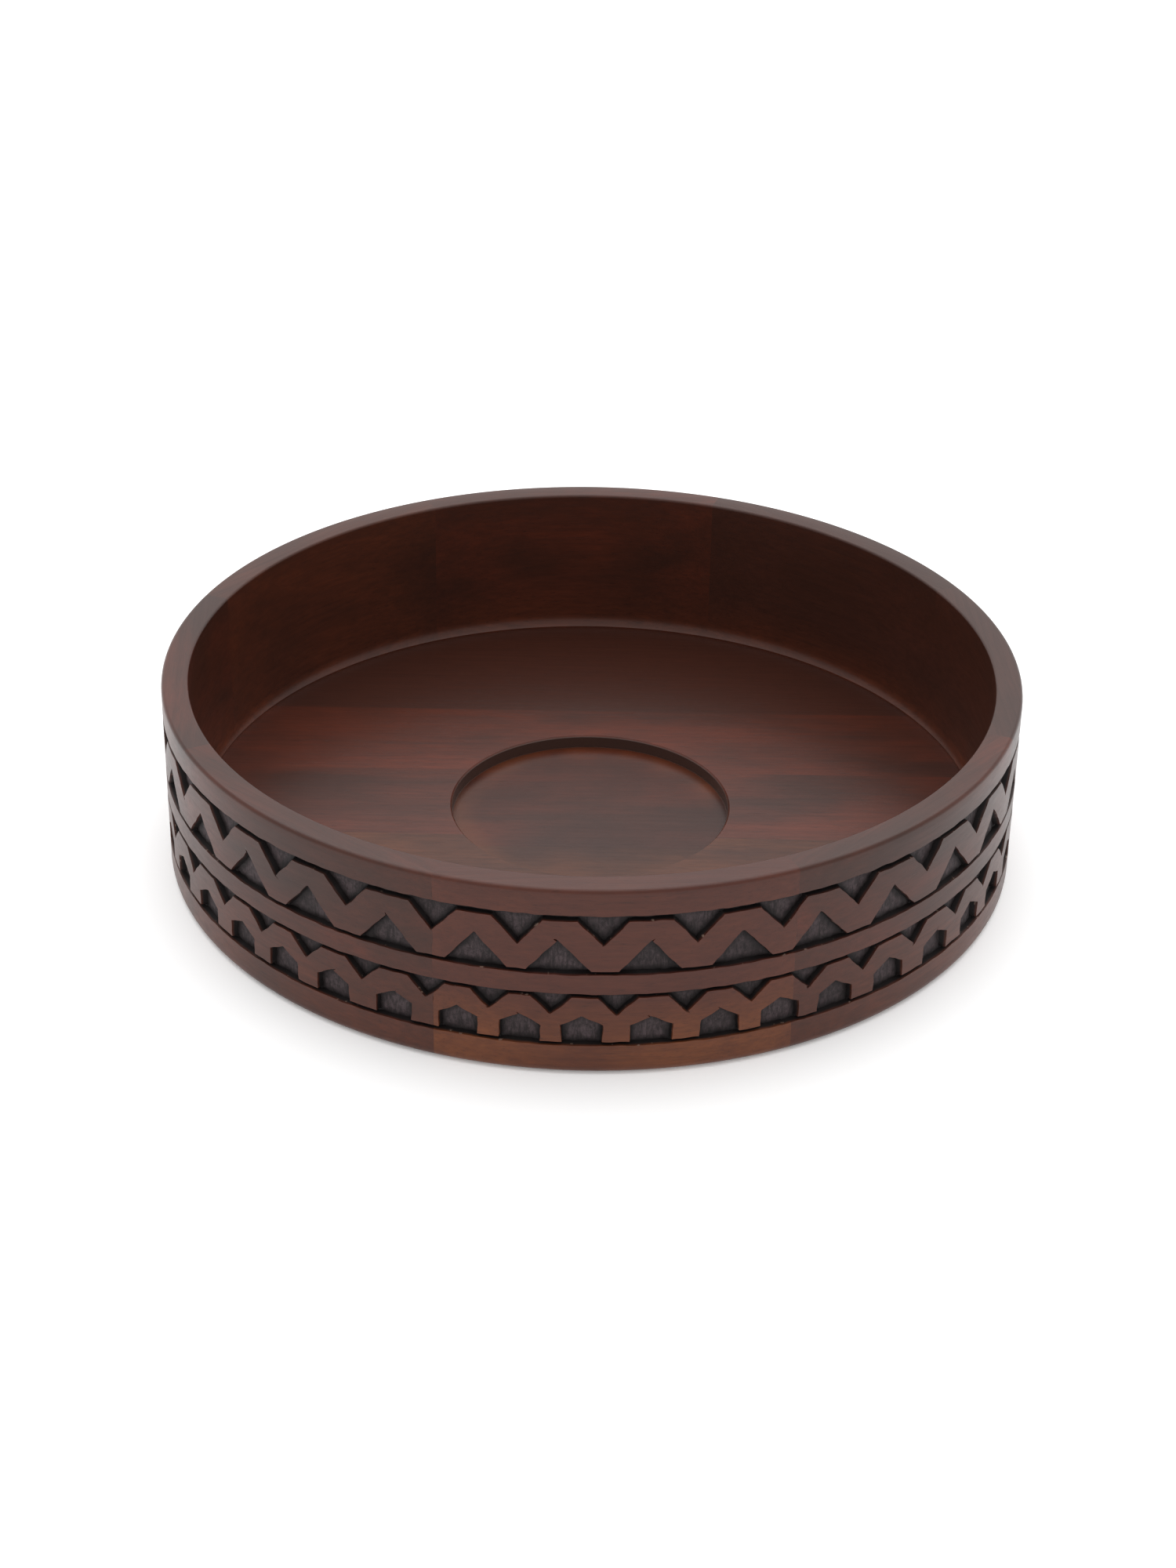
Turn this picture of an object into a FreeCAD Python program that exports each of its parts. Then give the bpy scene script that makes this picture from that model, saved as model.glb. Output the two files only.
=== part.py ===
# Carved round bowl, built the way a cooper builds a tub: upright staves glued in a ring,
# let down over a floor glued up from boards. Two rows of shallow pockets run round the
# outside, and a shallow round well in the middle of the floor holds a dip cup.
# Frame: origin in the middle of the base, +Z up, the bowl's front towards -Y. Millimetres.
import FreeCAD, Part
import math
import os

# ---- Overall ----
outer_diameter = 305.0
height = 70.0
wall_thickness = 9.5

# ---- Wall ring ----
stave_count = 8
first_joint_angle = -19.0     # where the front stave starts, in degrees round from the front
rim_outer_round = 1.5
rim_inner_round = 1.0
foot_round = 3.0
cove_radius = 6.2             # hollow curve where the wall meets the floor
cove_height = 5.0             # how far up the wall that curve starts
cove_toe = 0.5                # upright face left at the foot of the cove
rebate_depth = 4.0            # how far the floor runs in under the wall

# ---- Floor ----
floor_thickness = 12.2
floor_board_count = 7
floor_board_width = 46.7      # the two outermost boards take what is left
edge_clearance = 0.1          # glue line between the floor's rim and the rebate
dip_cup_diameter = 100.0
dip_cup_clearance = 0.5       # room all round a cup of that size
well_depth = 4.8
well_edge_ease = 0.6          # small bevel round the well's lip

# ---- Carving, bottom to top ----
bottom_band = 11.1            # plain band at the foot
middle_band = 7.2             # plain band between the two carved rows
top_band = 9.4                # plain band under the rim
groove_width = 1.5
top_groove_width = 2.1
groove_depth = 2.0
pocket_depth = 2.4
arcade_share = 0.476          # the lower row's part of the height left for carving
arcade_pitch = 22.3           # distance wanted from one doorway to the next
zigzag_pitch = 30.0           # distance wanted from one zigzag to the next
arcade_start = -4.3           # degrees round to the first notch of each row
zigzag_start = 2.3
long_drift = 0.8              # degrees that the carver wandered from an even spacing
long_drift_waves = 3          # times round the bowl
short_drift = 0.4             # a quicker wander on top of it, in degrees
short_drift_waves = 10

# Each pocket's size, as parts of its row's pitch and of its row's height.
arcade_notch = {"width": 0.597, "height": 0.40}
arcade_door = {"width": 0.61, "eaves": 0.37, "height": 0.585}
zigzag_notch = {"width": 0.551, "height": 0.50}
zigzag_peak = {"width": 0.70, "height": 0.63}

# ---- Worked out from the sizes above ----
outer_radius = outer_diameter / 2
inner_radius = outer_radius - wall_thickness
rebate_radius = inner_radius + rebate_depth
floor_radius = rebate_radius - edge_clearance
well_radius = dip_cup_diameter / 2 + dip_cup_clearance
stave_angle = 360.0 / stave_count

plain_height = bottom_band + middle_band + top_band + 3 * groove_width + top_groove_width
carved_height = height - plain_height
arcade_bottom = bottom_band + groove_width
arcade_top = arcade_bottom + carved_height * arcade_share
zigzag_bottom = arcade_top + groove_width + middle_band + groove_width
zigzag_top = zigzag_bottom + carved_height * (1 - arcade_share)

# Lower and upper edge of each groove, from the foot up.
grooves = [
    (bottom_band, arcade_bottom),
    (arcade_top, arcade_top + groove_width),
    (zigzag_bottom - groove_width, zigzag_bottom),
    (zigzag_top, zigzag_top + top_groove_width),
]

origin = FreeCAD.Vector(0, 0, 0)
up = FreeCAD.Vector(0, 0, 1)
same_place = 0.001            # two heights closer than this are the same


def section_point(r, z):
    """A point of a turned section: r from the bowl's axis, z above the base."""
    return FreeCAD.Vector(r, 0, z)


def section_arc(centre_r, centre_z, radius, start, end):
    """Edge of a round corner in a turned section, angles in degrees from the outward side."""
    points = []
    for angle in (start, (start + end) / 2, end):
        turn = math.radians(angle)
        points.append(section_point(centre_r + radius * math.cos(turn), centre_z + radius * math.sin(turn)))
    return Part.Arc(*points).toShape()


def joined(parts):
    """Face bounded by straight runs (lists of points) and arcs (edges), in the order given."""
    edges = []
    for part in parts:
        if isinstance(part, list):
            for start, end in zip(part, part[1:]):
                edges.append(Part.LineSegment(start, end).toShape())
        else:
            edges.append(part)
    return Part.Face(Part.Wire(edges))


def wall_section():
    """Section of the wall: foot, grooved outside, rounded rim, smooth inside, cove and rebate."""
    outside = [section_point(outer_radius, foot_round)]
    for low, high in grooves:
        outside.append(section_point(outer_radius, low))
        outside.append(section_point(outer_radius - groove_depth, low))
        outside.append(section_point(outer_radius - groove_depth, high))
        outside.append(section_point(outer_radius, high))
    outside.append(section_point(outer_radius, height - rim_outer_round))

    cove_centre_r = inner_radius - cove_radius
    cove_centre_z = floor_thickness + cove_height
    cove_sweep = math.degrees(math.asin((cove_height - cove_toe) / cove_radius))
    toe_r = cove_centre_r + cove_radius * math.cos(math.radians(cove_sweep))

    return joined([
        [section_point(rebate_radius, 0), section_point(outer_radius - foot_round, 0)],
        section_arc(outer_radius - foot_round, foot_round, foot_round, -90, 0),
        outside,
        section_arc(outer_radius - rim_outer_round, height - rim_outer_round, rim_outer_round, 0, 90),
        [section_point(outer_radius - rim_outer_round, height),
         section_point(inner_radius + rim_inner_round, height)],
        section_arc(inner_radius + rim_inner_round, height - rim_inner_round, rim_inner_round, 90, 180),
        [section_point(inner_radius, height - rim_inner_round), section_point(inner_radius, cove_centre_z)],
        section_arc(cove_centre_r, cove_centre_z, cove_radius, 0, -cove_sweep),
        [section_point(toe_r, floor_thickness + cove_toe), section_point(toe_r, floor_thickness),
         section_point(rebate_radius, floor_thickness), section_point(rebate_radius, 0)],
    ])


def drifted(angle):
    """The angle a carver really cut at, where an even spacing asks for this one."""
    long_wander = long_drift * math.sin(math.radians(long_drift_waves * angle))
    short_wander = short_drift * math.cos(math.radians(short_drift_waves * angle))
    return angle - long_wander - short_wander


def pocket(outline, angle):
    """Solid that cuts one flat-bottomed pocket: outline is (across, up) points at this angle."""
    face_out = 2 * pocket_depth
    floor_r = outer_radius - pocket_depth
    corners = [FreeCAD.Vector(across, -floor_r, z) for across, z in outline]
    cutter = Part.Face(Part.makePolygon(corners + corners[:1])).extrude(FreeCAD.Vector(0, -face_out, 0))
    cutter.rotate(origin, up, angle)
    return cutter


def arcade_pockets():
    """Lower row: a notch hanging from the upper groove, then a doorway standing on the lower one."""
    row_height = arcade_top - arcade_bottom
    count = round(math.pi * outer_diameter / arcade_pitch)
    pitch = math.pi * outer_diameter / count
    half_notch = arcade_notch["width"] * pitch / 2
    half_door = arcade_door["width"] * pitch / 2
    notch_tip = arcade_top - arcade_notch["height"] * row_height
    eaves = arcade_bottom + arcade_door["eaves"] * row_height
    ridge = arcade_bottom + arcade_door["height"] * row_height
    sill = arcade_bottom - groove_width
    head = arcade_top + groove_width
    notch = [(0, notch_tip), (half_notch, arcade_top), (half_notch, head),
             (-half_notch, head), (-half_notch, arcade_top)]
    door = [(-half_door, sill), (half_door, sill), (half_door, eaves), (0, ridge), (-half_door, eaves)]
    return row_of_pockets(notch, door, count, arcade_start)


def zigzag_pockets():
    """Upper row: a notch hanging from the top groove, then a peak standing on the groove below."""
    row_height = zigzag_top - zigzag_bottom
    count = round(math.pi * outer_diameter / zigzag_pitch)
    pitch = math.pi * outer_diameter / count
    half_notch = zigzag_notch["width"] * pitch / 2
    half_peak = zigzag_peak["width"] * pitch / 2
    notch_tip = zigzag_top - zigzag_notch["height"] * row_height
    peak_tip = zigzag_bottom + zigzag_peak["height"] * row_height
    sill = zigzag_bottom - groove_width
    head = zigzag_top + top_groove_width
    notch = [(0, notch_tip), (half_notch, zigzag_top), (half_notch, head),
             (-half_notch, head), (-half_notch, zigzag_top)]
    peak = [(-half_peak, sill), (half_peak, sill), (half_peak, zigzag_bottom),
            (0, peak_tip), (-half_peak, zigzag_bottom)]
    return row_of_pockets(notch, peak, count, zigzag_start)


def row_of_pockets(hanging, standing, count, start):
    """Pockets all the way round: each standing one is midway between two hanging ones."""
    step = 360.0 / count
    row = []
    for place in range(count):
        hanging_angle = drifted(start + place * step)
        standing_angle = drifted(start + (place + 0.5) * step)
        row.append((hanging_angle, pocket(hanging, hanging_angle)))
        row.append((standing_angle, pocket(standing, standing_angle)))
    return row


def degrees_apart(one, other):
    """Smallest turn between two angles."""
    return abs((one - other + 180) % 360 - 180)


def wall_stave(section, pockets, number):
    """One upright stave, mitred on both edges, with its share of the carving."""
    start = first_joint_angle + (number - 1) * stave_angle
    middle = start + stave_angle / 2
    pocket_reach = math.degrees(max(arcade_pitch, zigzag_pitch) / outer_radius)
    stave = section.revolve(origin, up, stave_angle)
    # The section starts on the +X side, and the front is on the -Y side, a quarter turn before it.
    stave.rotate(origin, up, start - 90)
    near = [tool for angle, tool in pockets if degrees_apart(angle, middle) < stave_angle / 2 + pocket_reach]
    return stave.cut(near)


def floor_panel():
    """The whole floor as one disc, with the well for the dip cup turned in its middle."""
    disc = Part.makeCylinder(floor_radius, floor_thickness)
    well = Part.makeCylinder(well_radius, floor_thickness, FreeCAD.Vector(0, 0, floor_thickness - well_depth))
    panel = disc.cut(well)
    lip = [edge for edge in panel.Edges if is_well_lip(edge)]
    return panel.makeChamfer(well_edge_ease, lip)


def is_well_lip(edge):
    """Whether this is the round edge where the well meets the floor."""
    box = edge.BoundBox
    at_floor_top = abs(box.ZMin - floor_thickness) < same_place and abs(box.ZMax - floor_thickness) < same_place
    return at_floor_top and box.XMax < well_radius + well_edge_ease


def floor_board(panel, number):
    """One board of the floor, cut from the disc, counted from the front."""
    front = (number - 1 - floor_board_count / 2) * floor_board_width
    back = front + floor_board_width
    if number == 1:
        front = -outer_radius
    if number == floor_board_count:
        back = outer_radius
    slab = Part.makeBox(outer_diameter, back - front, height, FreeCAD.Vector(-outer_radius, front, 0))
    return panel.common(slab)


def solid_of(shape, name):
    """The single valid solid that a piece must be."""
    if len(shape.Solids) != 1 or not shape.isValid():
        raise ValueError(name + " is not one valid solid")
    return shape.Solids[0]


os.makedirs("parts", exist_ok=True)

pieces = {}
section = wall_section()
pockets = arcade_pockets() + zigzag_pockets()
for number in range(1, stave_count + 1):
    pieces["wall_stave_" + str(number)] = wall_stave(section, pockets, number)
panel = floor_panel()
for number in range(1, floor_board_count + 1):
    pieces["floor_board_" + str(number)] = floor_board(panel, number)

for name, shape in pieces.items():
    piece = solid_of(shape, name)
    piece.exportStep("parts/" + name + ".step")
    print(name, round(piece.Volume / 1000, 1), "cm3")
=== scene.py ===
import math
import random

import bmesh
import bpy
from mathutils import Matrix, Vector, noise


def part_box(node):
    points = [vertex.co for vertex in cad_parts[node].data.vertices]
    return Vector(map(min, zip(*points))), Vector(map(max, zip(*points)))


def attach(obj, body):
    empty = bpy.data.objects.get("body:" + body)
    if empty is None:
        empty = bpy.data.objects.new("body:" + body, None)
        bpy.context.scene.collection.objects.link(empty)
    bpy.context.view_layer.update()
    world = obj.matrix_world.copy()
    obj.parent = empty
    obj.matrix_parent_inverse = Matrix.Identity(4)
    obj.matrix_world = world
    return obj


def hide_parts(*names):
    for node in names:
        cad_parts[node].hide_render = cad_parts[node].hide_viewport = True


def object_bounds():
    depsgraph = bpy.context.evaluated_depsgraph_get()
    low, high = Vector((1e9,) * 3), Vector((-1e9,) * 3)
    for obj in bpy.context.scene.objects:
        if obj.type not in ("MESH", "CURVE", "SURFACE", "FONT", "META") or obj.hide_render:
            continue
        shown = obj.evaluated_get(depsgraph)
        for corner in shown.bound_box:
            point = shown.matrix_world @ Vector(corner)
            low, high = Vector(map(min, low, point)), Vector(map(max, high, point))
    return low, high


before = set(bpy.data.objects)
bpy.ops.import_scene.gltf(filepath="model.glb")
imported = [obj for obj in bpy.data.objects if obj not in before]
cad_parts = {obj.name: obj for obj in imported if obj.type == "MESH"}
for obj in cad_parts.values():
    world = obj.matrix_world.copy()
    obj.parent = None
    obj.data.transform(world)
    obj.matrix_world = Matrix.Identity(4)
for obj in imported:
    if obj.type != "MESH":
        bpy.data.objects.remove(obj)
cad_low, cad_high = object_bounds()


# ---------------------------------------------------------------------------
# Camera
# Stands in front of the bowl and looks down into it at thirty degrees, with a
# long lens from far off, so that the rim's ellipse stays calm.
# ---------------------------------------------------------------------------
outer_radius = cad_high.x
bowl_height = cad_high.z

camera_distance = 7.155 * outer_radius
camera_elevation = math.radians(30.11)
camera_roll = math.radians(0.94)
camera_target = Vector((-0.0056 * outer_radius, 0, 0.1331 * outer_radius))

camera_data = bpy.data.cameras.new("camera")
camera_data.lens = 68.7
camera_data.sensor_width = 36
camera_data.clip_end = 20
camera = bpy.data.objects.new("camera", camera_data)
bpy.context.scene.collection.objects.link(camera)
toward_camera = Vector((0, -math.cos(camera_elevation), math.sin(camera_elevation)))
camera.location = camera_target + toward_camera * camera_distance
camera.rotation_euler = (
    (-toward_camera).to_track_quat("-Z", "Y").to_matrix() @ Matrix.Rotation(camera_roll, 3, "Z")
).to_euler()
bpy.context.scene.camera = camera


# ---------------------------------------------------------------------------
# Wall staves
# Eight upright staves of dark-stained hardwood, mitred, glued in a ring and
# turned round on a lathe. The pockets and grooves outside were cut by hand
# after that, so they run straight over the glue joints.
# ---------------------------------------------------------------------------
mm = 0.001                              # the frame is in metres
stave_count = 8
stave_angle = math.tau / stave_count
first_joint = math.radians(-19.0)       # round from the front, towards +X
columns_per_stave = 150

wall_thickness = 9.5 * mm
floor_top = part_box("floor_board_1")[1].z
inner_radius = outer_radius - wall_thickness
rebate_depth = 4.0 * mm                 # how far the floor runs in under the wall
rebate_radius = inner_radius + rebate_depth
cove_radius = 6.2 * mm
cove_height = 5.0 * mm
cove_toe = 0.5 * mm
rim_outer_round = 1.5 * mm
rim_inner_round = 1.0 * mm
foot_round = 3.0 * mm

bottom_band = 11.1 * mm
middle_band = 7.2 * mm
top_band = 9.4 * mm
groove_width = 1.5 * mm
top_groove_width = 2.1 * mm
arcade_share = 0.476                    # the lower row's part of the height left for carving
groove_depth = 2.0 * mm
pocket_depth = 2.4 * mm
wall_slope = 0.5 * mm                   # how far a pocket's wall leans in on its way down
corner_shade_reach = 2.6 * mm                 # painted shade in a pocket's corners reaches this far over its floor
slip_depth = 0.7 * mm                   # where the knife slipped past a corner
slip_slope = 0.2 * mm
slip_width = 0.55 * mm
slip_chance = 0.22                      # share of the pockets with a slip
strokes_round = 1100                    # chisel strokes on a pocket's floor, in noise steps per metre
strokes_up = 330
stroke_depth = 0.20 * mm
dent_scale = 420
dent_depth = 0.30 * mm
row_step = 0.8 * mm                     # mesh rows over the carving
plain_step = 3 * mm                     # mesh rows over the plain bands
corner_waver = 0.35 * mm                # how far a corner is off, at most

arcade_bottom = bottom_band + groove_width
carved_height = bowl_height - bottom_band - middle_band - top_band - 3 * groove_width - top_groove_width
arcade_top = arcade_bottom + arcade_share * carved_height
zigzag_bottom = arcade_top + 2 * groove_width + middle_band
zigzag_top = bowl_height - top_band - top_groove_width

grooves = [
    (bottom_band, arcade_bottom),
    (arcade_top, arcade_top + groove_width),
    (zigzag_bottom - groove_width, zigzag_bottom),
    (zigzag_top, zigzag_top + top_groove_width),
]

# Each pocket's width is a share of its row's pitch, its heights are shares of its row's height.
arcade_count = 43
arcade_start = math.radians(-4.3)
arcade_notch = {"width": 0.597, "height": 0.40}
arcade_door = {"width": 0.61, "eaves": 0.37, "height": 0.585}
zigzag_count = 32
zigzag_start = math.radians(2.3)
zigzag_notch = {"width": 0.551, "height": 0.50}
zigzag_peak = {"width": 0.70, "eaves": 0.0, "height": 0.63}
long_drift = math.radians(0.8)
short_drift = math.radians(0.4)


def drifted(angle):
    """Where the carver really cut, for an evenly spaced angle, in radians."""
    long_wander = long_drift * math.sin(3 * angle)
    short_wander = short_drift * math.cos(10 * angle)
    return angle - long_wander - short_wander


hand = random.Random(12)


def by_hand(outline, fixed):
    """The outline with its corners a little off, as cut by eye. Corners at fixed heights keep them."""
    moved = []
    for across, z in outline:
        dx = hand.uniform(-corner_waver, corner_waver)
        dz = hand.uniform(-corner_waver, corner_waver)
        moved.append((across + dx, z if z in fixed else z + dz))
    return moved


def carved_row(bottom, top, below, above, count, start, hanging, standing):
    """Pockets of one row between two grooves, as (middle angle, outline) pairs. An outline runs
    anticlockwise as (across, up) points. Below and above are the far edges of the two grooves."""
    step = math.tau / count
    pitch = step * outer_radius
    row_height = top - bottom
    half_hanging = hanging["width"] * pitch / 2
    half_standing = standing["width"] * pitch / 2
    tip = top - hanging["height"] * row_height
    eaves = bottom + standing["eaves"] * row_height
    ridge = bottom + standing["height"] * row_height
    notch = [(0, tip), (half_hanging, top), (half_hanging, above), (-half_hanging, above),
             (-half_hanging, top)]
    door = [(-half_standing, below), (half_standing, below), (half_standing, eaves), (0, ridge),
            (-half_standing, eaves)]
    row = []
    for place in range(count):
        row.append((drifted(start + place * step), by_hand(notch, (above, top))))
        row.append((drifted(start + (place + 0.5) * step), by_hand(door, (below,))))
    return row


pockets = carved_row(
    arcade_bottom, arcade_top, bottom_band, arcade_top + groove_width,
    arcade_count, arcade_start, arcade_notch, arcade_door)
pockets += carved_row(
    zigzag_bottom, zigzag_top, zigzag_bottom - groove_width, zigzag_top + top_groove_width,
    zigzag_count, zigzag_start, zigzag_notch, zigzag_peak)


def slip_of_the_knife(angle, across, z, length, tilt):
    """A thin cut run on past a corner: a narrow triangle from (across, z), tilted from the level."""
    along = Vector((math.cos(tilt), math.sin(tilt)))
    beside = Vector((-along.y, along.x)) * slip_width / 2
    foot = Vector((across, z))
    tip = foot + along * length
    return (angle, [tuple(foot - beside), tuple(tip), tuple(foot + beside)])


slips = []
for middle, outline in pockets:
    # A hanging pocket has a single lowest corner, its tip. A standing one has its tip on top.
    # The slip starts half a millimetre inside the tip and runs out past it.
    points = sorted(outline, key=lambda corner: corner[1])
    hangs = points[0][0] != points[1][0] and points[1][1] - points[0][1] > 2 * mm
    tip = points[0] if hangs else points[-1]
    if hand.random() < slip_chance:
        lean = hand.choice((-1, 1)) * math.radians(hand.uniform(38, 60))
        run_on = (-math.pi / 2 if hangs else math.pi / 2) + lean
        start_z = tip[1] + (0.5 if hangs else -0.5) * mm
        length = hand.uniform(1.4, 2.6) * mm
        slips.append(slip_of_the_knife(middle, tip[0], start_z, length, run_on))


def rounded(centre_r, centre_z, radius, start, end, steps):
    """Points of a round corner in the turned section, angles in degrees from the outward side."""
    turns = [math.radians(start + (end - start) * i / steps) for i in range(steps + 1)]
    return [(centre_r + radius * math.cos(t), centre_z + radius * math.sin(t)) for t in turns]


def spaced(low, high, step):
    """Heights from low to high, about a step apart, both ends kept."""
    count = max(1, round((high - low) / step))
    return [low + (high - low) * i / count for i in range(count + 1)]


def wall_section():
    """The wall's closed section as (r, z) points, from the rebate round the outside to the inside."""
    levels = []
    for low, high in grooves:
        levels += [low, low + wall_slope, high - wall_slope, high]
    points = [(rebate_radius, 0)]
    points += rounded(outer_radius - foot_round, foot_round, foot_round, -90, 0, 6)
    points += [(outer_radius, z) for z in spaced(foot_round, levels[0], plain_step)[1:]]
    for low, high in zip(levels, levels[1:]):
        points += [(outer_radius, z) for z in spaced(low, high, row_step)[1:]]
    band_top = bowl_height - rim_outer_round
    points += [(outer_radius, z) for z in spaced(levels[-1], band_top, plain_step)[1:-1]]
    points += rounded(outer_radius - rim_outer_round, band_top, rim_outer_round, 0, 90, 6)
    inside_top = bowl_height - rim_inner_round
    points += rounded(inner_radius + rim_inner_round, inside_top, rim_inner_round, 90, 180, 5)
    cove_r = inner_radius - cove_radius
    cove_z = floor_top + cove_height
    sweep = math.degrees(math.asin((cove_height - cove_toe) / cove_radius))
    cove = rounded(cove_r, cove_z, cove_radius, 0, -sweep, 7)
    points += cove
    points += [(cove[-1][0], floor_top), (rebate_radius, floor_top)]
    return points


def turned_stave(start):
    """Blank of one stave, turned round the bowl's axis from this joint to the next, mitres left open."""
    blank = bmesh.new()
    line = [blank.verts.new((r * math.sin(start), -r * math.cos(start), z)) for r, z in wall_section()]
    edges = [blank.edges.new(pair) for pair in zip(line, line[1:] + line[:1])]
    bmesh.ops.spin(blank, geom=line + edges, cent=(0, 0, 0), axis=(0, 0, 1), angle=stave_angle,
                   steps=columns_per_stave, use_merge=False, use_duplicate=False)
    bmesh.ops.recalc_face_normals(blank, faces=blank.faces)
    return blank


def angle_of(point):
    """Angle of a point round the bowl, from the front towards +X."""
    return math.atan2(point.x, -point.y)


def angle_between(one, other):
    """Signed turn from the other angle to this one, the short way round."""
    return (one - other + math.pi) % math.tau - math.pi


def on_outside(point):
    """Whether a point lies on the outer face, between the foot and the rim rounds."""
    return math.hypot(point.x, point.y) > outer_radius - 0.01 * mm


chord_room = 1.0005                     # a flat face's middle lies a little inside the round skin


def cut_outline(blank, faces, middle, outline, lean):
    """Cuts a pocket's outline, drawn in by a lean, into these faces and gives back those inside it."""
    side = Vector((math.cos(middle), math.sin(middle), 0))
    out = Vector((math.sin(middle), -math.cos(middle), 0))
    for (a0, z0), (a1, z1) in zip(outline, outline[1:] + outline[:1]):
        run = Vector((a1 - a0, z1 - z0)).normalized()
        inward = side * -run.y + Vector((0, 0, run.x))
        point = out * outer_radius + side * a0 + Vector((0, 0, z0)) + inward * lean
        # Dictionaries keep their order, where sets don't, so that every run cuts alike.
        geom = dict.fromkeys(faces)
        for face in faces:
            geom.update(dict.fromkeys(face.edges))
            geom.update(dict.fromkeys(face.verts))
        bmesh.ops.bisect_plane(blank, geom=list(geom), dist=0.02 * mm, plane_co=point, plane_no=inward)
        reached = {}
        for item in geom:
            if item.is_valid and isinstance(item, bmesh.types.BMVert):
                reached.update(dict.fromkeys(item.link_faces))
        faces = []
        for face in reached:
            centre = face.calc_center_median()
            if (centre - point).dot(inward) > 0 and on_outside(centre * chord_room):
                faces.append(face)
        if not faces:
            return []
    return faces


def inside_by(across, up, outline):
    """How far a point lies inside a convex outline, negative outside it."""
    nearest = 1.0
    for (a0, z0), (a1, z1) in zip(outline, outline[1:] + outline[:1]):
        run_a, run_z = a1 - a0, z1 - z0
        length = math.hypot(run_a, run_z)
        nearest = min(nearest, (run_a * (up - z0) - run_z * (across - a0)) / length)
    return nearest


def fallen(inside, depth, slope=wall_slope):
    """Depth below the skin at this distance inside an outline: a leaning wall, then the floor."""
    return depth * min(1.0, max(0.0, inside / slope))


def carve(blank, start):
    """Cuts this stave's grooves and pockets. The 'carved' layer says how far in a vertex lies: 0 on the
    skin, 0.5 at the foot of a cut's wall, and 1 out on its floor."""
    middle_of_stave = start + stave_angle / 2
    near = []
    for cuts, depth, slope in ((pockets, pocket_depth, wall_slope), (slips, slip_depth, slip_slope)):
        for middle, outline in cuts:
            reach = max(abs(a) for a, _ in outline) / outer_radius
            if abs(angle_between(middle, middle_of_stave)) < stave_angle / 2 + reach:
                near.append((middle, outline, reach, depth, slope))

    by_column = {}
    width = stave_angle / columns_per_stave
    for face in blank.faces:
        centre = face.calc_center_median()
        if math.hypot(centre.x, centre.y) > outer_radius - 0.1 * mm:
            column = int(angle_between(angle_of(centre), start) // width)
            by_column.setdefault(column, []).append(face)
    for middle, outline, reach, _, slope in near:
        low = min(z for _, z in outline) - row_step
        high = max(z for _, z in outline) + row_step
        first = int((angle_between(middle, start) - reach) // width) - 1
        last = int((angle_between(middle, start) + reach) // width) + 1
        faces = []
        for column in range(first, last + 1):
            faces += [f for f in by_column.get(column, []) if f.is_valid
                      and low < f.calc_center_median().z < high]
        for lean in (0.0, slope):
            faces = cut_outline(blank, faces, middle, outline, lean)

    carved = blank.verts.layers.float.new("carved")
    for vert in blank.verts:
        point = vert.co
        if not (on_outside(point) and bottom_band < point.z < zigzag_top + top_groove_width):
            continue
        depth = 0.0
        inside = 0.0
        for low, high in grooves:
            if low < point.z < high:
                inside = min(point.z - low, high - point.z)
                depth = fallen(inside, groove_depth)
        angle = angle_of(point)
        for middle, outline, reach, deepest, slope in near:
            across = angle_between(angle, middle) * outer_radius
            if abs(across) < reach * outer_radius + 1 * mm:
                within = inside_by(across, point.z, outline)
                inside = max(inside, within)
                depth = max(depth, fallen(within, deepest, slope))
        if depth > 0:
            strokes = Vector((angle * outer_radius * strokes_round, point.z * strokes_up, 0))
            rough = noise.noise(strokes) * stroke_depth + noise.noise(point * dent_scale) * dent_depth
            to_floor = min(1, inside / wall_slope)
            vert[carved] = 0.5 * to_floor + 0.5 * min(1, max(0, inside - wall_slope) / corner_shade_reach)
            scale = 1 - (depth + rough * to_floor) / outer_radius
            vert.co = Vector((point.x * scale, point.y * scale, point.z))


waver_scale = 240                       # slow waver of the cut edges, in noise steps per metre
waver_reach = 0.40 * mm
waver_rise = 0.30 * mm
tremble_scale = 600                     # quick tremble on top of it
tremble_reach = 0.14 * mm
elsewhere = Vector((7, 3, 5))           # another part of the noise, for the up and down


def wander(blank):
    """Lets the cut edges waver a little, as a hand-held knife leaves them."""
    lowest = bottom_band - 1 * mm
    highest = zigzag_top + top_groove_width + 1 * mm
    deepest = outer_radius - pocket_depth - 1 * mm
    for vert in blank.verts:
        point = vert.co
        if math.hypot(point.x, point.y) > deepest and lowest < point.z < highest:
            side = Vector((-point.y, point.x, 0)).normalized()
            here = point * waver_scale
            tremble = noise.noise(point * tremble_scale) * tremble_reach
            vert.co += side * (noise.noise(here) * waver_reach + tremble)
            vert.co.z += noise.noise(here + elsewhere) * waver_rise


def close_mitres(blank):
    """Closes both glued ends of a stave with a face each."""
    open_edges = [e for e in blank.edges if e.is_boundary]
    bmesh.ops.edgeloop_fill(blank, edges=open_edges)
    bmesh.ops.recalc_face_normals(blank, faces=blank.faces)


def finished(name, blank, replaced):
    """Makes the object of a piece that stands for one CAD node and rides with the bowl."""
    mesh = bpy.data.meshes.new(name)
    blank.to_mesh(mesh)
    blank.free()
    mesh.polygons.foreach_set("use_smooth", [True] * len(mesh.polygons))
    mesh.set_sharp_from_angle(angle=math.radians(35))
    piece = bpy.data.objects.new(name, mesh)
    bpy.context.scene.collection.objects.link(piece)
    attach(piece, "root")
    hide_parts(replaced)
    return piece


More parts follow.
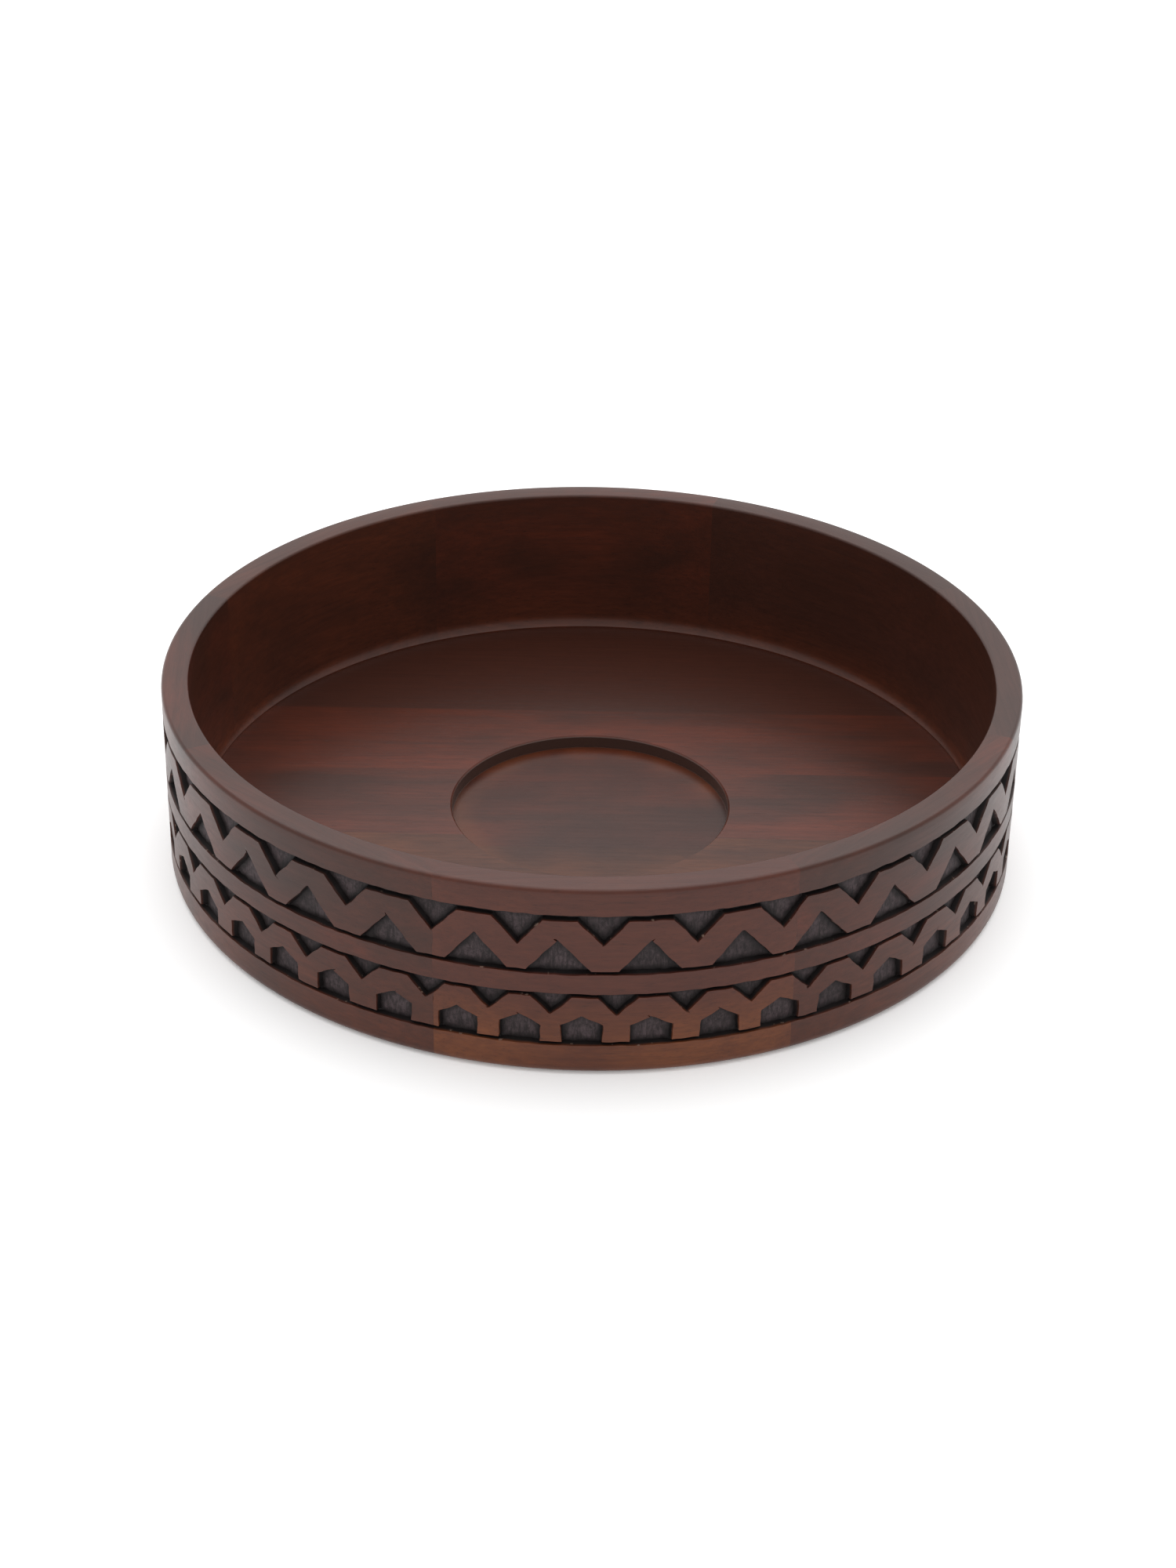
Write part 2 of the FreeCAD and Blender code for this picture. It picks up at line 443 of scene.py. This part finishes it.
def new_group(name, inputs, outputs):
    """A shader node group with these sockets: (name, kind, default) inwards, (name, kind) outwards."""
    group = bpy.data.node_groups.new(name, "ShaderNodeTree")
    for socket_name, kind, default in inputs:
        socket = group.interface.new_socket(socket_name, in_out="INPUT", socket_type=kind)
        if default is not None:
            socket.default_value = default
    for socket_name, kind in outputs:
        group.interface.new_socket(socket_name, in_out="OUTPUT", socket_type=kind)
    return group, group.nodes.new("NodeGroupInput"), group.nodes.new("NodeGroupOutput")


def node(tree, kind, links=None, **settings):
    """Adds a node, sets its properties and joins or sets its inputs, given by name or number."""
    made = tree.nodes.new(kind)
    for key, value in settings.items():
        setattr(made, key, value)
    for key, value in (links or {}).items():
        if isinstance(value, bpy.types.NodeSocket):
            tree.links.new(value, made.inputs[key])
        else:
            made.inputs[key].default_value = value
    return made


def math_node(tree, operation, *values):
    """Output of a maths node over sockets or plain numbers."""
    return node(tree, "ShaderNodeMath", dict(enumerate(values)), operation=operation).outputs[0]


def ramp(tree, value, low, high):
    """Value taken from low..high onto 0..1, held at both ends."""
    made = node(tree, "ShaderNodeMapRange", {"Value": value, "From Min": low, "From Max": high})
    return made.outputs["Result"]


def mixed(tree, factor, one, other):
    """Colour between two others."""
    made = tree.nodes.new("ShaderNodeMix")
    made.data_type = "RGBA"
    for index, value in ((0, factor), (6, one), (7, other)):
        if isinstance(value, bpy.types.NodeSocket):
            tree.links.new(value, made.inputs[index])
        else:
            made.inputs[index].default_value = value
    return made.outputs[2]


# Grain runs along the group's X. Fibres are fine streaks, pores are short dark dashes and flecks are
# small uneven spots between them. Figure is the slow change from darker to redder wood across a
# board, and patches are where the stain went in more.
grain_group, grain_in, grain_out = new_group(
    "wood_grain",
    [("Vector", "NodeSocketVector", None)],
    [("Fibre", "NodeSocketFloat"), ("Pores", "NodeSocketFloat"), ("Flecks", "NodeSocketFloat"),
     ("Figure", "NodeSocketFloat"), ("Patches", "NodeSocketFloat")])


def streaks(scale, detail, roughness, distortion, low, high, output):
    """One kind of streak in the grain, stretched by its scale along X, Y and Z."""
    stretched = node(grain_group, "ShaderNodeMapping", {
        "Vector": grain_in.outputs["Vector"], "Scale": scale})
    uneven = node(grain_group, "ShaderNodeTexNoise", {
        "Vector": stretched.outputs[0], "Scale": 1.0, "Detail": detail, "Roughness": roughness,
        "Distortion": distortion})
    grain_group.links.new(ramp(grain_group, uneven.outputs["Fac"], low, high), grain_out.inputs[output])


streaks((20, 620, 620), 5.0, 0.6, 0.3, 0.30, 0.70, "Fibre")
streaks((170, 2600, 2600), 1.0, 0.5, 0.0, 0.62, 0.72, "Pores")
streaks((130, 800, 800), 2.0, 0.6, 0.0, 0.38, 0.66, "Flecks")
streaks((11, 40, 40), 3.0, 0.6, 0.4, 0.30, 0.70, "Figure")
streaks((24, 24, 24), 4.0, 0.6, 0.0, 0.40, 0.66, "Patches")


# Walnut stain over the grain. Brown and red are the two ends of the figure, patchiness is how much
# browner the patches are, and foot shows through near the base by foot share.
stain_group, stain_in, stain_out = new_group(
    "walnut_stain",
    [("Board", "NodeSocketVector", None), ("Place", "NodeSocketVector", None),
     ("Brown", "NodeSocketColor", None), ("Red", "NodeSocketColor", None),
     ("Foot", "NodeSocketColor", None), ("Foot Share", "NodeSocketFloat", 0.0),
     ("Patchiness", "NodeSocketFloat", 0.6)],
    [("Color", "NodeSocketColor"), ("Roughness", "NodeSocketFloat"), ("Height", "NodeSocketFloat")])
black = (0, 0, 0, 1)
plain_brown = stain_in.outputs["Brown"]
grain = node(stain_group, "ShaderNodeGroup", {"Vector": stain_in.outputs["Board"]}, node_tree=grain_group)
stained = mixed(stain_group, grain.outputs["Figure"], plain_brown, stain_in.outputs["Red"])
height_up = node(stain_group, "ShaderNodeSeparateXYZ", {0: stain_in.outputs["Place"]}).outputs["Z"]
low_down = math_node(stain_group, "MULTIPLY", ramp(stain_group, height_up, 32 * mm, 14 * mm),
                     stain_in.outputs["Foot Share"])
stained = mixed(stain_group, low_down, stained, stain_in.outputs["Foot"])
browner = math_node(stain_group, "MULTIPLY", grain.outputs["Patches"], stain_in.outputs["Patchiness"])
stained = mixed(stain_group, browner, stained, plain_brown)
for part, share, blackness in (("Fibre", 0.38, 0.55), ("Flecks", 0.20, 0.55), ("Pores", 0.35, 0.70)):
    darker = mixed(stain_group, blackness, plain_brown, black)
    amount = math_node(stain_group, "MULTIPLY", grain.outputs[part], share)
    stained = mixed(stain_group, amount, stained, darker)
raised = math_node(stain_group, "MULTIPLY", grain.outputs["Fibre"], 0.10)
raised = math_node(stain_group, "MULTIPLY_ADD", grain.outputs["Pores"], -0.25, raised)
satin = math_node(stain_group, "MULTIPLY_ADD", grain.outputs["Fibre"], 0.06, 0.32)
stain_group.links.new(stained, stain_out.inputs["Color"])
stain_group.links.new(satin, stain_out.inputs["Roughness"])
stain_group.links.new(raised, stain_out.inputs["Height"])


# Stain in the round well: heavier over its floor, with an orange edge where it was rubbed off, and
# greyer on the turned wall, which is partly end grain.
well_group, well_in, well_out = new_group(
    "well_stain",
    [("Place", "NodeSocketVector", None), ("Color", "NodeSocketColor", None),
     ("Brown", "NodeSocketColor", None), ("Radius", "NodeSocketFloat", 0.05)],
    [("Color", "NodeSocketColor")])
flat = node(well_group, "ShaderNodeVectorMath", {0: well_in.outputs["Place"], 1: (1, 1, 0)},
            operation="MULTIPLY")
from_middle = node(well_group, "ShaderNodeVectorMath", {0: flat.outputs[0]}, operation="LENGTH")
beyond_wall = math_node(well_group, "SUBTRACT", from_middle.outputs["Value"], well_in.outputs["Radius"])
inside_well = ramp(well_group, beyond_wall, 0.0, -0.6 * mm)
patchy = node(well_group, "ShaderNodeTexNoise", {"Vector": well_in.outputs["Place"], "Scale": 32.0,
                                                 "Detail": 3.0}).outputs["Fac"]
heavy = math_node(well_group, "MULTIPLY_ADD", ramp(well_group, patchy, 0.35, 0.65), 0.50, 0.15)
heavy = math_node(well_group, "MULTIPLY", inside_well, heavy)
darker = mixed(well_group, 0.45, well_in.outputs["Brown"], black)
welled = mixed(well_group, heavy, well_in.outputs["Color"], darker)
ring = math_node(well_group, "MULTIPLY", ramp(well_group, beyond_wall, -11 * mm, -2 * mm), inside_well)
ring = math_node(well_group, "MULTIPLY", ring, ramp(well_group, patchy, 0.65, 0.35))
ring = math_node(well_group, "MULTIPLY", ring, 0.5)
welled = mixed(well_group, ring, welled, (0.130, 0.038, 0.012, 1))
at_wall = math_node(well_group, "MULTIPLY", ramp(well_group, beyond_wall, -0.4 * mm, -0.2 * mm),
                    ramp(well_group, beyond_wall, 0.25 * mm, 0.1 * mm))
welled = mixed(well_group, at_wall, welled, (0.068, 0.036, 0.028, 1))
well_group.links.new(welled, well_out.inputs["Color"])


# Chisel strokes on the floor of a pocket: mostly upright, in places slanting, light and dark.
marks_group, marks_in, marks_out = new_group(
    "tool_marks", [("Vector", "NodeSocketVector", None)], [("Strokes", "NodeSocketFloat")])
strokes = []
for tilt, scale, bent in ((0, (1000, 300, 230), 0.0), (math.radians(50), (950, 300, 260), 0.6)):
    laid = node(marks_group, "ShaderNodeMapping", {
        "Vector": marks_in.outputs["Vector"], "Rotation": (0, tilt, 0), "Scale": scale})
    strokes.append(node(marks_group, "ShaderNodeTexNoise", {
        "Vector": laid.outputs[0], "Scale": 1.0, "Detail": 3.0, "Roughness": 0.65, "Distortion": bent}))
where = node(marks_group, "ShaderNodeTexNoise", {"Vector": marks_in.outputs["Vector"], "Scale": 70.0,
                                                 "Detail": 1.0})
chosen = node(marks_group, "ShaderNodeMix", {
    0: ramp(marks_group, where.outputs["Fac"], 0.45, 0.55), 2: strokes[0].outputs["Fac"],
    3: strokes[1].outputs["Fac"]})
dents = node(marks_group, "ShaderNodeTexNoise", {"Vector": marks_in.outputs["Vector"], "Scale": 620.0,
                                                 "Detail": 4.0, "Roughness": 0.75})
cuts = math_node(marks_group, "MULTIPLY", ramp(marks_group, chosen.outputs[0], 0.34, 0.62),
                 ramp(marks_group, dents.outputs["Fac"], 0.30, 0.55))
marks_group.links.new(cuts, marks_out.inputs["Strokes"])


# Look of the cut pockets by their depth: dark stain in the cuts with painted shade on the walls and in
# the corners, dusty tool-marked floors, and here and there a light nick along an edge.
carving_group, carving_in, carving_out = new_group(
    "cut_pockets",
    [("Board", "NodeSocketVector", None), ("Place", "NodeSocketVector", None),
     ("Color", "NodeSocketColor", None), ("Depth", "NodeSocketFloat", 0.0)],
    [("Color", "NodeSocketColor"), ("Cut", "NodeSocketFloat"), ("Dust Clear Of Shade", "NodeSocketFloat")])
marks = node(carving_group, "ShaderNodeGroup", {"Vector": carving_in.outputs["Board"]},
             node_tree=marks_group)
depth = carving_in.outputs["Depth"]
cut = ramp(carving_group, depth, 0.0, 0.22)
worn = math_node(carving_group, "MULTIPLY_ADD", marks.outputs["Strokes"], 0.80, 0.20)
# Dust lies out on the pocket floors and thins towards the walls and corners, where painted shade takes
# over.
dust_clear_of_shade = math_node(carving_group, "MULTIPLY", worn, ramp(carving_group, depth, 0.5, 0.95))
uneven = node(carving_group, "ShaderNodeTexNoise", {"Vector": carving_in.outputs["Place"], "Scale": 45.0,
                                                    "Detail": 2.0}).outputs["Fac"]
thickness = math_node(carving_group, "MULTIPLY_ADD", ramp(carving_group, uneven, 0.35, 0.65), 0.5, 0.72)
dust_clear_of_shade = math_node(carving_group, "MULTIPLY", dust_clear_of_shade, thickness)
# Near black on the walls and in the corners is dark stain plus painted shade; the grey on the floors is
# dust.
pocket = mixed(carving_group, dust_clear_of_shade, (0.0040, 0.0020, 0.0020, 1), (0.062, 0.043, 0.046, 1))
shown = mixed(carving_group, cut, carving_in.outputs["Color"], pocket)
nicks = node(carving_group, "ShaderNodeTexNoise", {"Vector": carving_in.outputs["Place"], "Scale": 420.0,
                                                   "Detail": 2.0})
edge = math_node(carving_group, "MULTIPLY", ramp(carving_group, depth, 0.0, 0.02),
                 ramp(carving_group, depth, 0.30, 0.10))
nick = math_node(carving_group, "MULTIPLY", ramp(carving_group, nicks.outputs["Fac"], 0.67, 0.72), edge)
shown = mixed(carving_group, nick, shown, (0.20, 0.13, 0.10, 1))
carving_group.links.new(shown, carving_out.inputs["Color"])
carving_group.links.new(cut, carving_out.inputs["Cut"])
carving_group.links.new(dust_clear_of_shade, carving_out.inputs["Dust Clear Of Shade"])


def stained_wood(name, turn, shift, brown, red, foot=None, carved=False, well=0.0, patchiness=0.6):
    """Dark walnut stain under satin lacquer. Turn lays the grain along the board and shift picks its
    place in the tree. Foot is the colour near the base, and carved adds the look of the cut pockets.
    Well is the radius inside which the stain lies heavier. Patchiness goes from 0 to 1."""
    material = bpy.data.materials.new(name)
    material.use_nodes = True
    tree = material.node_tree
    shader = tree.nodes["Principled BSDF"]
    place = node(tree, "ShaderNodeTexCoord").outputs["Object"]
    board = node(tree, "ShaderNodeMapping", {
        "Vector": place, "Rotation": (0, 0, -turn), "Location": shift}).outputs["Vector"]
    stain = node(tree, "ShaderNodeGroup", {
        "Board": board, "Place": place, "Brown": brown, "Red": red, "Foot": foot or brown,
        "Foot Share": 1.0 if foot else 0.0, "Patchiness": patchiness}, node_tree=stain_group)
    colour = stain.outputs["Color"]
    roughness = stain.outputs["Roughness"]
    height = stain.outputs["Height"]
    if well:
        welled_stain = node(tree, "ShaderNodeGroup", {
            "Place": place, "Color": colour, "Brown": brown, "Radius": well}, node_tree=well_group)
        colour = welled_stain.outputs["Color"]
    if carved:
        depth = node(tree, "ShaderNodeAttribute", attribute_name="carved").outputs["Fac"]
        pockets_look = node(tree, "ShaderNodeGroup", {
            "Board": board, "Place": place, "Color": colour, "Depth": depth}, node_tree=carving_group)
        colour = pockets_look.outputs["Color"]
        roughness = math_node(tree, "MULTIPLY_ADD", pockets_look.outputs["Cut"], 0.32, roughness)
        height = math_node(tree, "MULTIPLY_ADD", pockets_look.outputs["Dust Clear Of Shade"], 2.2, height)
    tree.links.new(colour, shader.inputs["Base Color"])
    tree.links.new(roughness, shader.inputs["Roughness"])
    bump = node(tree, "ShaderNodeBump", {"Height": height, "Strength": 0.5, "Distance": 0.0001})
    tree.links.new(bump.outputs[0], shader.inputs["Normal"])
    shader.inputs["Specular IOR Level"].default_value = 0.31
    return material


walnut = (0.041, 0.0130, 0.0074, 1)
walnut_red = (0.112, 0.0225, 0.0100, 1)
walnut_warm = (0.098, 0.0235, 0.0100, 1)
walnut_front = (0.066, 0.0155, 0.0085, 1)
walnut_orange = (0.150, 0.0420, 0.0120, 1)
walnut_dull = (0.062, 0.0180, 0.0105, 1)

# Each stave's brown, red and foot colour, from the front stave round by the right.
stave_colours = [
    (walnut_front, walnut_warm, walnut_orange),
    (walnut, walnut_red, walnut_warm),
    (walnut, walnut_dull, walnut_warm),
    (walnut, walnut_dull, walnut_warm),
    (walnut, walnut_red, walnut_warm),
    (walnut, walnut_warm, walnut_warm),
    (walnut, walnut_red, walnut_warm),
    (walnut, walnut_red, walnut_warm),
]

for number in range(1, stave_count + 1):
    start = first_joint + (number - 1) * stave_angle
    middle = start + stave_angle / 2
    blank = turned_stave(start)
    carve(blank, start)
    wander(blank)
    close_mitres(blank)
    stave = finished("wall_stave_" + str(number) + "_wood", blank, "wall_stave_" + str(number))
    brown, warm, foot = stave_colours[number - 1]
    stave.data.materials.append(stained_wood(
        "stave_wood_" + str(number), middle, (0.37 * number, 0.11 * number, 0), brown, warm,
        foot=foot, carved=True))


# ---------------------------------------------------------------------------
# Floor boards
# Seven boards of the same wood, edge-glued, cut to a disc and let into the
# rebate under the wall. The round well in the middle, turned after gluing,
# keeps a dip cup in its place.
# ---------------------------------------------------------------------------
board_brown = (0.047, 0.0135, 0.0076, 1)
board_red = (0.122, 0.0228, 0.0092, 1)
# Each board's own tone; the two brown boards at the back are darker partly by their own tone and partly
# by painted shade from the back wall.
board_tones_and_back_shade = [board_red, board_red, walnut_orange, board_red, board_red, board_brown, board_brown]
well_radius = 50.5 * mm                 # a cup of 100 mm with some room round it

for number, warm in enumerate(board_tones_and_back_shade, start=1):
    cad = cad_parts["floor_board_" + str(number)]
    wood = stained_wood(
        "board_wood_" + str(number), 0.0, (0.29 * number, 0, 0.07 * number), board_brown, warm,
        well=well_radius, patchiness=0.25)
    for slot in cad.material_slots:
        slot.material = wood


# ---------------------------------------------------------------------------
# Studio
# A large sheet of pale paper to stand on, one wide soft box overhead and white
# walls all round, a little brighter behind the bowl.
# ---------------------------------------------------------------------------
paper_reach = 6                         # metres from its middle to its edge
paper_drop = 0.2 * mm                   # keeps it clear of the bowl's base

ground = bmesh.new()
bmesh.ops.create_grid(ground, x_segments=1, y_segments=1, size=paper_reach)
bmesh.ops.translate(ground, verts=ground.verts, vec=(0, 0, -paper_drop))
ground_mesh = bpy.data.meshes.new("studio_floor")
ground.to_mesh(ground_mesh)
ground.free()
studio_floor = bpy.data.objects.new("studio_floor", ground_mesh)
bpy.context.scene.collection.objects.link(studio_floor)
paper = bpy.data.materials.new("studio_paper")
paper.use_nodes = True
paper_shader = paper.node_tree.nodes["Principled BSDF"]
paper_shader.inputs["Base Color"].default_value = (0.95, 0.95, 0.95, 1)
paper_shader.inputs["Roughness"].default_value = 0.9
paper_shader.inputs["Emission Color"].default_value = (1, 1, 1, 1)
paper_shader.inputs["Emission Strength"].default_value = 0.13
studio_floor.data.materials.append(paper)


def soft_box(name, place, target, size, power):
    """A square light that faces its target."""
    data = bpy.data.lights.new(name, "AREA")
    data.shape = "SQUARE"
    data.size = size
    data.energy = power
    lamp = bpy.data.objects.new(name, data)
    lamp.location = place
    lamp.rotation_euler = (Vector(target) - Vector(place)).to_track_quat("-Z", "Y").to_euler()
    bpy.context.scene.collection.objects.link(lamp)


soft_box("overhead_box", (0, 0.5, 1.6), (0, 0, 0), 2.4, 24)

world = bpy.data.worlds.new("studio_walls")
world.use_nodes = True
walls = world.node_tree
direction = node(walls, "ShaderNodeTexCoord")
toward_back = node(walls, "ShaderNodeSeparateXYZ", {0: direction.outputs["Generated"]}).outputs["Y"]
brightness = math_node(walls, "MULTIPLY_ADD", toward_back, 0.12, 0.95)
walls.links.new(brightness, walls.nodes["Background"].inputs["Strength"])
walls.nodes["Background"].inputs["Color"].default_value = (1, 1, 1, 1)
bpy.context.scene.world = world
bpy.context.scene.view_settings.view_transform = "Standard"
